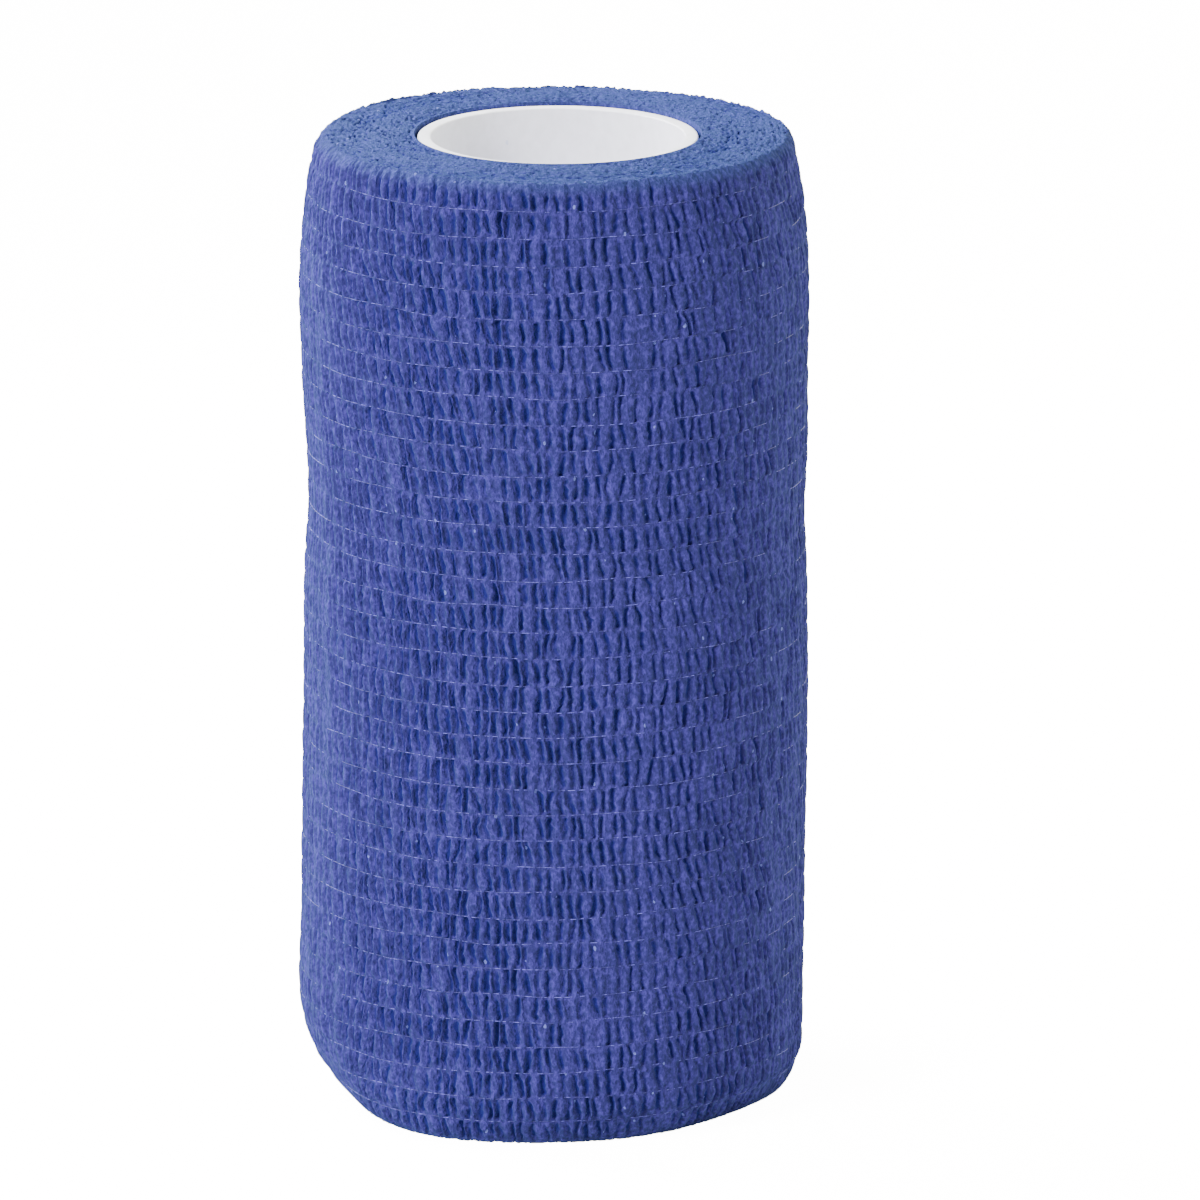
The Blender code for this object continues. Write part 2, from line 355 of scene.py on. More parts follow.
class Folds:
    """The folds between the threads: where they run, how deep and how wide they are.

    A cell is the band between two threads. What is drawn at random varies about a middling fold.
    """

    STRAIGHT_ENDS = 0.004  # distance from the cut end over which the folds straighten
    LEFT_BEND = 0.0026  # how far the lines of folds bend aside at the upper left
    CALM_SHARE = 0.2  # how much less open the folds are in calm patches
    BOLD_SHARE, BOLD_DEPTH = 0.22, 0.85  # some folds are at least this deep wherever they are
    LEAST_RIB = 0.05  # share of a rib's height that is left where the cloth isn't crinkled
    RIM_RIB = 0.6  # share of a rib's height in the first and the last cell
    NEAREST = 0.00062  # least distance between the centre lines of two folds
    PUSHES = 12  # how often folds that are nearer than that are pushed apart
    AT_THREADS, AT_RIMS = 0.18, 0.5  # share of a fold's depth under a thread, and of that at a rim
    STOP_LEAD, STOP_LENGTH = 0.05, 0.12  # a fold deepens over this length, from a little outside
    SHUT_WIDTH, OPENING_WIDTH = 0.7, 0.3  # share of a fold's width where it stops, and the rest
    WIDEST = 0.38  # the most of the distance to the nearest fold that half of a fold takes up
    LOW_RIB, LOW_RIM_RIB = 0.35, 0.1  # share of a rib's height at a thread and at a rim
    RIB_ROUNDING = 0.6  # the lower, the more evenly a rib keeps its height between two threads

    def __init__(self, crinkle, cells, circumference):
        rng = np.random.default_rng(FOLD_SEED)
        count = crinkle.fold_count
        shape = (cells, count)
        spacing = rng.uniform(0.78, 1.22, count)
        home = (np.cumsum(spacing) - 0.5 * spacing) / spacing.sum() * circumference
        across = home[None, :] / circumference + np.zeros((cells + 1, 1))
        up = np.arange(cells + 1)[:, None] / cells + np.zeros((1, count))
        free = eased(np.minimum(home, circumference - home) / self.STRAIGHT_ENDS)
        drift = crinkle.sway * soft_noise("fold_sway", across, up)
        drift -= self.LEFT_BEND * upper_left(across, up, width=0.2, start=0.5, rise=0.5)
        line = home + free * (drift + random_shifts(rng, 0.00012, 0.0002, drift))
        across = across[:-1]
        up = up[:-1]
        lean = free * lean_of_cells(across, up)
        self.low_end = line[:-1] + free * random_shifts(rng, 0.00017, 0.0004, up) + lean
        self.high_end = line[1:] + free * random_shifts(rng, 0.00017, 0.0004, up) - lean
        self.bow = free * random_shifts(rng, 0.00013, 0.00026, up)
        self.openness = self.open_folds(rng, crinkle.fold_share, cells, count)
        patches = 0.5 + 0.5 * soft_noise("fold_patches", across, up)
        self.openness *= 1.0 - self.CALM_SHARE + self.CALM_SHARE * eased(2.2 * patches)
        around = crinkled(across, up)
        is_bold = rng.random(shape) < self.BOLD_SHARE
        bold = np.where(is_bold, np.maximum(around, self.BOLD_DEPTH), around)
        self.depth = crinkle.fold_depth * bold * rng.uniform(0.72, 1.2, shape)
        self.slant = rng.uniform(-0.45, 0.45, shape)
        self.half_width = crinkle.fold_half_width * rng.uniform(0.68, 1.2, shape)
        self.low_stop = rng.uniform(0.0, 0.16, shape)
        self.high_stop = rng.uniform(0.0, 0.16, shape)
        self.low_stop[0] = rng.uniform(0.1, 0.35, count)
        self.high_stop[-1] = rng.uniform(0.18, 0.44, count)
        standing = self.LEAST_RIB + (1.0 - self.LEAST_RIB) * around**2
        self.rib = crinkle.rib_height * standing * rng.uniform(0.4, 1.4, shape)
        self.rib[[0, -1]] *= self.RIM_RIB
        points = np.empty((cells * len(CELL_ROWS) + 1, count))
        self.wobble = free * random_shifts(rng, 0.00006, 0.00014, points)
        self.lumps = rng.uniform(0.75, 1.2, points.shape)
        self.swells = rng.uniform(0.8, 1.15, points.shape)

    @staticmethod
    def open_folds(rng, share, cells, count):
        """How open each fold is, from 0 to 1. Many keep the state of the fold below them."""
        state = rng.random(count) < share
        rows = []
        for _ in range(cells):
            redrawn = rng.random(count) < 0.5
            state = np.where(redrawn, rng.random(count) < share, state)
            opened = rng.uniform(0.7, 1.0, count)
            shut = rng.uniform(0.0, 0.15, count)
            rows.append(np.where(state, opened, shut))
        return np.array(rows)

    def at(self, cell, share):
        """Centre, depth, half width and rib height of every fold, on rows of points in cells.

        cell and share are arrays with an entry a row: the cell, and how far up it the row lies.
        """
        up = share[:, None]
        swell = 4.0 * up * (1.0 - up)
        inside = (share > 0.1) & (share < 0.9)
        opening = self.opening(up - self.low_stop[cell])
        opening *= self.opening(1.0 - up - self.high_stop[cell])
        centre = self.centres(cell, share, swell, inside)
        deep = self.depths(cell, up, opening, inside)
        half = self.half_width[cell] * (self.SHUT_WIDTH + self.OPENING_WIDTH * opening)
        half[inside] *= self.swells[inside]
        gaps = np.diff(centre, axis=1)
        before = np.pad(gaps, ((0, 0), (1, 0)), "edge")
        after = np.pad(gaps, ((0, 0), (0, 1)), "edge")
        half = np.minimum(half, self.WIDEST * np.minimum(before, after))
        at_rim = ((cell == 0) & (share < 0.5)) | ((cell == len(self.depth) - 1) & (share > 0.5))
        low = np.where(at_rim, self.LOW_RIM_RIB, self.LOW_RIB)[:, None]
        return centre, deep, half, self.rib[cell] * (low + (1.0 - low) * swell**self.RIB_ROUNDING)

    def opening(self, from_stop):
        """How far a fold has opened at this distance from where it stops, in heights of a cell."""
        return eased((from_stop + self.STOP_LEAD) / self.STOP_LENGTH)

    def centres(self, cell, share, swell, inside):
        """Where the folds' centre lines lie round the roll, never nearer than they may be."""
        up = share[:, None]
        centre = self.low_end[cell] * (1.0 - up) + self.high_end[cell] * up + self.bow[cell] * swell
        below = self.high_end[np.maximum(cell - 1, 0)]
        on_line = (share == 0.0) & (cell > 0)
        centre[on_line] = 0.5 * (below + self.low_end[cell])[on_line]
        centre[inside] += self.wobble[inside]
        for _ in range(self.PUSHES):
            push = 0.5 * np.maximum(self.NEAREST - np.diff(centre, axis=1), 0.0)
            centre[:, :-1] -= push
            centre[:, 1:] += push
        return centre

    def depths(self, cell, up, opening, inside):
        """How deep the folds are, from what is left of them under one thread to the next."""
        depth = self.depth * self.openness
        padded = np.vstack([depth[:1], depth, depth[-1:]])
        at_lines = self.AT_THREADS * np.minimum(padded[:-1], padded[1:])
        at_lines[[0, -1]] *= self.AT_RIMS
        between = at_lines[cell] * (1.0 - up) + at_lines[cell + 1] * up
        deep = depth[cell] * (1.0 + self.slant[cell] * (2.0 * up - 1.0))
        deep[inside] *= self.lumps[inside]
        return between + (deep - between) * opening


# --- The wound cloth ---


class ClothGrid:
    """The grid of points of the whole wound cloth, and how deep in the cloth each point lies."""

    BASE_ROWS, TOP_ROWS, HOLE_ROWS = 12, 50, 4  # rows of points on the ends and in the hole
    LIP = 0.004  # share of the wall out to a row that keeps the shading of the hole's edge narrow
    DENT_REACH = 0.22  # share of a cell over which a thread's dent fades
    FINE_PEBBLE, RIM_PEBBLE = 0.8, 1.5  # height of finer lumps, and of lumps at the top's rim
    RIM_REACH = 0.0022  # height below the top over which those at its rim fade
    SAG = 0.00010  # how far the side swells and sinks
    STEP_START, STEP_WIDTH = 0.88, 0.12  # part of an end face where the cut end's step forms
    NOTCH_DEPTH = 0.0006  # how far the folds notch an end face
    TURN_STRAY = 0.5  # how far the gap between two turns strays, in turns
    FINE_GRAIN = 0.6  # height of an end face's finer grain, as a share of the coarser's
    PIT_GRAIN, PIT_START, PIT_RISE = 0.45, 0.42, 0.5  # how the grain breaks the gaps into pits
    FACE_GRAIN, FACE_SWELL = 0.00007, 0.00016  # height of an end face's grain and swells
    HOLE_FADE, RIM_FADE = 0.05, 0.012  # shares of the wall over which a face's relief fades
    HIGHEST = 0.0004  # the most that the cloth stands up over the solid's top
    DEEPEST = 1.5  # the deepest fold that the painted fold shade tells apart, in middling folds
    END_FELTING = 0.55  # relief of the fibres on the ends, as a share of the crinkled side's
    CUT_EDGE_FADE = 0.0016  # height below the top over which its colour passes into the side's
    BASE_EDGE = 0.0004  # height of the base's rim that has the colour of cut edges, partly painted light

    def __init__(self, crinkle, threads, ends):
        self.threads = threads
        self.ends = ends
        self.outline = Outline(threads.count)
        self.cells = threads.count + 1
        self.mean_radius = self.outline.radii.mean()
        self.circumference = FULL_TURN * self.mean_radius
        self.folds = Folds(crinkle, self.cells, self.circumference)
        self.crinkle = crinkle
        self.build()

    def side_rows(self):
        """Cell and share of each row of points on the side, from the base's rim to the top's."""
        cell = np.repeat(np.arange(self.cells), len(CELL_ROWS))
        share = np.tile(CELL_ROWS, self.cells)
        return np.append(cell, self.cells - 1), np.append(share, 1.0)

    def columns(self, cell, share):
        """Angle from the cut end and fold relief of every point on the side's rows."""
        centre, deep, half, rib = self.folds.at(cell, share)
        end = np.full((len(cell), 1), self.circumference)
        following = np.hstack([centre[:, 1:] - half[:, 1:], end])
        shoulder = centre + half
        across = [centre + offset * half for offset, _ in FOLD_COLUMNS]
        relief = [-depth_share * deep for _, depth_share in FOLD_COLUMNS]
        for column_share, height_share in CROWN_COLUMNS:
            across.append(shoulder + column_share * (following - shoulder))
            relief.append(height_share * rib)
        rows = len(cell)
        across = np.stack(across, axis=2).reshape(rows, -1)
        relief = np.stack(relief, axis=2).reshape(rows, -1)
        across = np.hstack([np.zeros((rows, 1)), across, end])
        relief = np.pad(relief, ((0, 0), (1, 1)))
        return across / self.circumference * FULL_TURN, relief

    def side(self):
        """Angle, radius, height, relief and fold depth of the side's points, row by row."""
        cell, share = self.side_rows()
        angle, relief = self.columns(cell, share)
        up = share[:, None]
        low = thread_height(self.threads, cell[:, None], angle)
        high = thread_height(self.threads, cell[:, None] + 1, angle)
        height = low * (1.0 - up) + high * up
        radius = self.outline.radius(angle, height)
        to_thread = np.minimum(share, 1.0 - share)
        dent = self.threads.dent * (1.0 - eased(to_thread / self.DENT_REACH))
        dent[(cell == 0) & (share < 0.5)] = 0.0
        dent[(cell == self.cells - 1) & (share > 0.5)] = 0.0
        across = angle / FULL_TURN
        rise = height / ROLL_HEIGHT
        pebble = soft_noise("pebbles", across, rise)
        pebble += self.FINE_PEBBLE * soft_noise("fine_pebbles", across, rise)
        at_rim = eased(1.0 - (ROLL_HEIGHT - height) / self.RIM_REACH)
        pebble *= crinkled(across, rise) ** 2 * (1.0 - at_rim) + self.RIM_PEBBLE * at_rim
        sag = self.SAG * soft_noise("side_sag", across, rise)
        total = relief - dent[:, None] + self.crinkle.pebble * pebble + sag
        return angle, radius, height, total, relief

    def face(self, shares, level, more_seed, rim_angle, rim_relief):
        """The same for the points of an end face, on rows at these shares of the wall's thickness.

        The columns start from the side's own at the rim, whose notches fade out inwards.
        """
        angle = np.tile(rim_angle, (len(shares), 1))
        share = shares[:, None] + 0.0 * angle
        height = np.full_like(angle, level)
        rim = self.outline.radius(angle, height)
        step = 0.5 * (rim[:, :1] - rim[:, -1:])
        joined = rim - step * (1.0 - angle / math.pi)
        rim = joined + (rim - joined) * eased((share - self.STEP_START) / self.STEP_WIDTH)
        wall = rim - HOLE_RADIUS
        from_rim = (1.0 - share) * wall
        notch = np.minimum(rim_relief, 0.0)[None, :] * (1.0 - eased(from_rim / self.NOTCH_DEPTH))
        radius = HOLE_RADIUS + share * wall + notch
        across = angle / FULL_TURN
        turn_pitch = wall / self.ends.turns
        stray = soft_noise("turn_stray", across, share, more_seed) * self.TURN_STRAY
        phase = share * wall / turn_pitch - across + stray
        ridge = 0.5 + 0.5 * np.cos(FULL_TURN * phase)
        grain = soft_noise("end_grain", across, share, more_seed)
        grain += self.FINE_GRAIN * soft_noise("fine_end_grain", across, share, more_seed)
        pits = 0.5 * (1.0 - ridge) - self.PIT_GRAIN * grain
        pits = eased((pits - self.PIT_START) / self.PIT_RISE)
        fade = eased(share / self.HOLE_FADE) * eased((1.0 - share) / self.RIM_FADE)
        relief = -(self.ends.turn_gap * (1.0 - ridge) + self.ends.pit_depth * pits) * fade
        relief += self.FACE_GRAIN * grain * fade
        relief += self.FACE_SWELL * soft_noise("end_swell", across, share, more_seed) * fade
        return angle, radius, height, relief, relief

    def hole(self, heights, angle):
        """The same for the points of the hole's wall, on rows at these heights."""
        angle = np.tile(angle, (len(heights), 1))
        height = heights[:, None] + 0.0 * angle
        radius = np.full_like(angle, HOLE_RADIUS)
        flat = np.zeros_like(angle)
        return angle, radius, height, flat, flat

    def build(self):
        """Joins the hole, the faces and the side into one grid and raises its relief."""
        depths = np.linspace(0.0, 1.0, self.HOLE_ROWS + 1)[1:] ** 3 * (0.5 * ROLL_HEIGHT)
        base_shares = np.linspace(0.0, 1.0, self.BASE_ROWS + 1)[:-1]
        top_shares = np.linspace(1.0, 0.0, self.TOP_ROWS + 1)[1:]
        side = self.side()
        base_rim, top_rim = (side[0][0], side[4][0]), (side[0][-1], side[4][-1])
        parts = (
            self.hole(depths[::-1], base_rim[0]),
            self.face(np.insert(base_shares, 1, self.LIP), 0.0, 0, *base_rim),
            side,
            self.face(np.insert(top_shares, -1, self.LIP), ROLL_HEIGHT, TOP_SEEDS, *top_rim),
            self.hole(ROLL_HEIGHT - depths, top_rim[0]),
        )
        angle, radius, height, relief, fold = (np.vstack(arrays) for arrays in zip(*parts))
        starts = np.cumsum([0] + [len(part[0]) for part in parts])
        self.side_start, self.side_end = starts[2], starts[3] - 1
        out, up = self.normals(radius, height)
        radius = radius + relief * out
        height = np.clip(height + relief * up, 0.0, ROLL_HEIGHT + self.HIGHEST)
        from_side = 1.0 - (radius - HOLE_RADIUS) / (self.mean_radius - HOLE_RADIUS)
        world_angle = angle + LAP_ANGLE
        x = radius * np.cos(world_angle) + CORE_CENTRE_X * np.clip(from_side, 0.0, 1.0)
        self.places = np.stack([x, radius * np.sin(world_angle), height], axis=2)
        # How deep each point lies in the folds and pits; the material paints shade by it.
        self.depth = np.clip(-fold / self.crinkle.fold_depth, 0.0, self.DEEPEST)
        self.felting = crinkled(angle / FULL_TURN, height / ROLL_HEIGHT)
        self.felting[: self.side_start] = self.END_FELTING
        self.felting[self.side_end + 1 :] = self.END_FELTING
        # The cut edges' colour, partly painted light, takes over at the top's rim and on the base.
        self.cut_edge = eased(1.0 - (ROLL_HEIGHT - height) / self.CUT_EDGE_FADE)
        self.cut_edge[height < self.BASE_EDGE] = 1.0

    @staticmethod
    def normals(radius, height):
        """The way out of the cloth at each point, as its outward and upward shares."""
        out = np.gradient(height, axis=0)
        up = -np.gradient(radius, axis=0)
        size = np.hypot(out, up) + 1e-12  # never nothing
        return out / size, up / size


def point_values(mesh, name, values):
    """Gives each of a mesh's points a number that its material reads by this name."""
    attribute = mesh.attributes.new(name, "FLOAT", "POINT")
    attribute.data.foreach_set("value", values.astype(np.float32))


def grid_mesh(name, places, **values):
    """A mesh of the rows of points. Its last column meets its first one at the cut end."""
    rows, columns, _ = places.shape
    index = np.arange(rows * columns).reshape(rows, columns)
    joined = np.linalg.norm(places[:, -1] - places[:, 0], axis=1) < SAME_PLACE
    index[joined, -1] = index[joined, 0]
    quads = np.stack([index[:-1, :-1], index[:-1, 1:], index[1:, 1:], index[1:, :-1]], axis=2)
    stepped = ~(joined[:-1] & joined[1:])
    wall = np.stack([index[:-1, -1], index[:-1, 0], index[1:, 0], index[1:, -1]], axis=1)[stepped]
    faces = [list(dict.fromkeys(quad)) for quad in wall.tolist()]
    faces = quads.reshape(-1, 4).tolist() + [face for face in faces if len(face) > 2]
    used = np.zeros(rows * columns, dtype=bool)
    used[index.ravel()] = True
    renumbered = (np.cumsum(used) - 1).tolist()
    faces = [[renumbered[i] for i in face] for face in faces]
    mesh = bpy.data.meshes.new(name)
    mesh.from_pydata(places.reshape(-1, 3)[used].tolist(), [], faces)
    for value_name, value in values.items():
        point_values(mesh, value_name, value.ravel()[used])
    mesh.shade_smooth()
    mesh.validate()
    return mesh


def place_piece(name, mesh, material):
    """Puts a mesh in the scene as a piece that rides with the roll."""
    piece = bpy.data.objects.new(name, mesh)
    bpy.context.scene.collection.objects.link(piece)
    mesh.materials.append(material)
    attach(piece, BODY)
    return piece


# --- Materials ---


def new_material(name):
    """A material, with its node tree and its shader."""
    material = bpy.data.materials.new(name)
    material.use_nodes = True
    return material, material.node_tree, material.node_tree.nodes["Principled BSDF"]


def new_node(tree, kind, **settings):
    """A node with these settings."""
    node = tree.nodes.new(kind)
    for name, value in settings.items():
        setattr(node, name, value)
    return node


def set_inputs(node, **values):
    """Sets a node's inputs to these values. The name Fibre_Size sets the input Fibre Size."""
    for name, value in values.items():
        node.inputs[name.replace("_", " ")].default_value = value


def maths(tree, operation, first, second, clamp=False):
    """A Math node. Each term is a number or another node's output."""
    node = new_node(tree, "ShaderNodeMath", operation=operation, use_clamp=clamp)
    for slot, term in zip(node.inputs, (first, second)):
        if isinstance(term, (int, float)):
            slot.default_value = term
        else:
            tree.links.new(term, slot)
    return node.outputs[0]


def above(tree, value, start, gain, clamp=False):
    """How far a value lies above start, times gain."""
    return maths(tree, "MULTIPLY", maths(tree, "SUBTRACT", value, start), gain, clamp)


def graded(tree, value, gain, base):
    """A value times gain, plus base."""
    return maths(tree, "ADD", maths(tree, "MULTIPLY", value, gain), base)


def mixed(tree, factor, first, second):
    """A Mix node of two colours. Each is a colour or another node's output."""
    node = new_node(tree, "ShaderNodeMix", data_type="RGBA")
    tree.links.new(factor, node.inputs["Factor"])
    for slot, colour in ((node.inputs[6], first), (node.inputs[7], second)):
        if hasattr(colour, "is_output"):
            tree.links.new(colour, slot)
        else:
            slot.default_value = (*colour, 1.0)
    return node.outputs[2]


def toned(tree, factor, colour, dark, light):
    """A colour that runs with the factor between these two shares of itself."""
    shades = [tuple(channel * share for channel in colour) for share in (dark, light)]
    return mixed(tree, factor, *shades)


def point_value(tree, name):
    """The number that point_values gave to the mesh's points by this name."""
    return new_node(tree, "ShaderNodeAttribute", attribute_name=name).outputs["Fac"]


def fibre_felt():
    """The felted look of the cloth's fibres: a tone, a small height and pale specks of lint."""
    existing = bpy.data.node_groups.get("fibre_felt")
    if existing:
        return existing
    group = bpy.data.node_groups.new("fibre_felt", "ShaderNodeTree")
    inputs = {"Fibre Size": 0.00022, "Mottle Size": 0.004, "Lint Size": 0.0011, "Lint Share": 0.1}
    for name, default in inputs.items():
        socket = group.interface.new_socket(name=name, in_out="INPUT", socket_type="NodeSocketFloat")
        socket.default_value = default
    for name in ("Tone", "Height", "Lint"):
        group.interface.new_socket(name=name, in_out="OUTPUT", socket_type="NodeSocketFloat")
    source = new_node(group, "NodeGroupInput")
    result = new_node(group, "NodeGroupOutput")
    drawn_up = new_node(group, "ShaderNodeVectorMath", operation="MULTIPLY")
    drawn_up.inputs[1].default_value = (1.0, 1.0, 0.7)
    group.links.new(new_node(group, "ShaderNodeTexCoord").outputs["Object"], drawn_up.inputs[0])
    place = drawn_up.outputs[0]

    def grain(size, roughness):
        noise = new_node(group, "ShaderNodeTexNoise")
        set_inputs(noise, Detail=2.0, Roughness=roughness)
        group.links.new(place, noise.inputs["Vector"])
        group.links.new(maths(group, "DIVIDE", 1.0, size), noise.inputs["Scale"])
        return noise.outputs["Fac"]

    fibres = grain(source.outputs["Fibre Size"], roughness=0.6)
    mottle = grain(source.outputs["Mottle Size"], roughness=0.5)
    contrast = above(group, fibres, start=0.5, gain=3.0)
    cloud = above(group, mottle, start=0.5, gain=0.6)
    tone = maths(group, "ADD", maths(group, "ADD", contrast, cloud), 0.5, clamp=True)
    specks = new_node(group, "ShaderNodeTexVoronoi")
    group.links.new(place, specks.inputs["Vector"])
    per_metre = maths(group, "DIVIDE", 1.0, source.outputs["Lint Size"])
    group.links.new(per_metre, specks.inputs["Scale"])
    ragged, speck_reach = 0.4, 0.34
    from_speck = maths(group, "MULTIPLY", fibres, ragged)
    from_speck = maths(group, "ADD", specks.outputs["Distance"], from_speck)
    in_speck = maths(group, "LESS_THAN", from_speck, speck_reach)
    lottery = new_node(group, "ShaderNodeSeparateColor")
    group.links.new(specks.outputs["Color"], lottery.inputs["Color"])
    chosen = maths(group, "LESS_THAN", lottery.outputs["Red"], source.outputs["Lint Share"])
    group.links.new(tone, result.inputs["Tone"])
    group.links.new(fibres, result.inputs["Height"])
    group.links.new(maths(group, "MULTIPLY", in_speck, chosen), result.inputs["Lint"])
    return group


def felt_node(tree, **values):
    """The fibre_felt group with these inputs."""
    node = new_node(tree, "ShaderNodeGroup", node_tree=fibre_felt())
    set_inputs(node, **values)
    return node


def add_roughness(tree, shader, felt, gain, base):
    """Makes the roughness follow the felt's tone."""
    tree.links.new(graded(tree, felt.outputs["Tone"], gain, base), shader.inputs["Roughness"])


def add_bump(tree, shader, height, strength, distance):
    bump = new_node(tree, "ShaderNodeBump")
    set_inputs(bump, Strength=strength, Distance=distance)
    tree.links.new(height, bump.inputs["Height"])
    tree.links.new(bump.outputs["Normal"], shader.inputs["Normal"])


def cloth_material(crown, fold, cut_edge):
    """Crinkled nonwoven: lighter on its ribs, with painted shade darker in its folds and pits,
    felted and a little fuzzy.

    Towards the two ends of the roll its colour passes into that of the cloth's cut edges, which is
    partly their own colour and partly painted light: paler and greener, as a top face lit from above
    with sheen looks.
    """
    material, tree, shader = new_material("crinkled_cloth")
    felt = felt_node(tree, Fibre_Size=0.0004, Mottle_Size=0.0035, Lint_Size=0.001, Lint_Share=0.09)
    # Painted shade: the deeper a point lies in the folds and pits, the more of the darker fold
    # colour it gets.
    painted_fold_shade = above(tree, point_value(tree, "fold_depth"), start=0.28, gain=2.4, clamp=True)
    contrast, lint_strength, lint_colour = 1.7, 0.6, (0.14, 0.16, 0.50)
    bright = maths(tree, "POWER", felt.outputs["Tone"], contrast)
    ribs = toned(tree, bright, crown, dark=0.75, light=1.9)
    # Partly painted light: the cut edges get a paler, greener colour, as a top face lit from above
    # with sheen looks.
    edges = toned(tree, bright, cut_edge, dark=0.82, light=1.75)
    ribs = mixed(tree, point_value(tree, "cut_edge"), ribs, edges)
    colour = mixed(tree, painted_fold_shade, ribs, fold)
    lint = maths(tree, "MULTIPLY", felt.outputs["Lint"], lint_strength)
    tree.links.new(mixed(tree, lint, colour, lint_colour), shader.inputs["Base Color"])
    add_roughness(tree, shader, felt, gain=0.2, base=0.72)
    set_inputs(shader, Specular_IOR_Level=0.02, Specular_Tint=(0.55, 0.65, 1.0, 1.0))
    set_inputs(shader, Sheen_Weight=0.052, Sheen_Roughness=0.8, Sheen_Tint=(0.15, 0.64, 0.90, 1.0))
    felting = graded(tree, point_value(tree, "felting"), gain=0.7, base=0.3)
    height = maths(tree, "MULTIPLY", felt.outputs["Height"], felting)
    add_bump(tree, shader, height, strength=1.0, distance=0.00042)
    return material


def thread_material(colour):
    """Elastic yarn: pale and a little shiny, lighter and darker along its length."""
    material, tree, shader = new_material("elastic_thread")
    felt = felt_node(tree, Fibre_Size=0.0005, Mottle_Size=0.003, Lint_Size=0.002, Lint_Share=0.25)
    tone = above(tree, felt.outputs["Tone"], start=0.42, gain=2.2, clamp=True)
    tree.links.new(toned(tree, tone, colour, dark=0.42, light=1.35), shader.inputs["Base Color"])
    add_roughness(tree, shader, felt, gain=0.2, base=0.4)
    set_inputs(shader, Specular_IOR_Level=0.2, Specular_Tint=(0.6, 0.7, 1.0, 1.0))
    add_bump(tree, shader, felt.outputs["Height"], strength=0.3, distance=0.00005)
    return material


def core_material(colour, bore):
    """White moulded plastic with faint clouding and a little dust, with painted shade: a darker
    colour on its bore's wall.
    """
    material, tree, shader = new_material("core_plastic")
    felt = felt_node(tree, Fibre_Size=0.0009, Mottle_Size=0.009, Lint_Size=0.0016, Lint_Share=0.012)
    ends, wall = (
        toned(tree, felt.outputs["Tone"], white, dark=0.95, light=1.02) for white in (colour, bore)
    )
    # Painted shade: the bore's wall gets the darker bore colour.
    clouded_and_bore_shaded = mixed(tree, point_value(tree, "bore"), ends, wall)
    dust_strength, dust_colour = 0.35, (0.35, 0.42, 0.70)
    dust = maths(tree, "MULTIPLY", felt.outputs["Lint"], dust_strength)
    tree.links.new(mixed(tree, dust, clouded_and_bore_shaded, dust_colour), shader.inputs["Base Color"])
    add_roughness(tree, shader, felt, gain=0.18, base=0.30)
    add_bump(tree, shader, felt.outputs["Height"], strength=0.08, distance=0.00008)
    return material


def floor_material():
    """A plain pale floor, which the camera sees a little brighter than the light on it makes it."""
    material, tree, shader = new_material("pale_floor")
    set_inputs(shader, Base_Color=(0.93, 0.93, 0.94, 1.0), Emission_Color=(1.0, 1.0, 1.0, 1.0))
    set_inputs(shader, Roughness=0.9, Specular_IOR_Level=0.1)
    seen = new_node(tree, "ShaderNodeLightPath").outputs["Is Camera Ray"]
    glow = 14.0
    tree.links.new(maths(tree, "MULTIPLY", seen, glow), shader.inputs["Emission Strength"])
    return material


# --- Operators ---


class ROLL_OT_wound_cloth(Operator):
    """Makes the crinkled cloth of the roll, from the base's hole up its side to the top's hole"""

    bl_idname = "roll.wound_cloth"
    bl_label = "Wound cloth"

    def execute(self, context):
        scene = context.scene
        grid = ClothGrid(scene.roll_crinkle, scene.roll_threads, scene.roll_ends)
        colours = scene.roll_colours
        finish = cloth_material(colours.crown, colours.fold, colours.end_grain)
        first, last = grid.side_start, grid.side_end
        cells = np.linspace(0, grid.cells, len(SIDE_PIECES) + 1).round().astype(int)
        cuts = [first + len(CELL_ROWS) * cell for cell in cells]
        self.piece(grid, "cloth_base_end", 0, first, finish)
        for name, start, stop in zip(SIDE_PIECES, cuts, cuts[1:]):
            self.piece(grid, name, start, stop, finish)
        self.piece(grid, "cloth_top_end", last, len(grid.places) - 1, finish)
        return {"FINISHED"}

    @staticmethod
    def piece(grid, name, first, last, finish):
        """Makes one piece of the cloth from the grid's rows first to last, both included."""
        rows = slice(first, last + 1)
        mesh = grid_mesh(
            name,
            grid.places[rows],
            fold_depth=grid.depth[rows],
            felting=grid.felting[rows],
            cut_edge=grid.cut_edge[rows],
        )
        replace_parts(place_piece(name, mesh, finish), CLOTH_NODE)


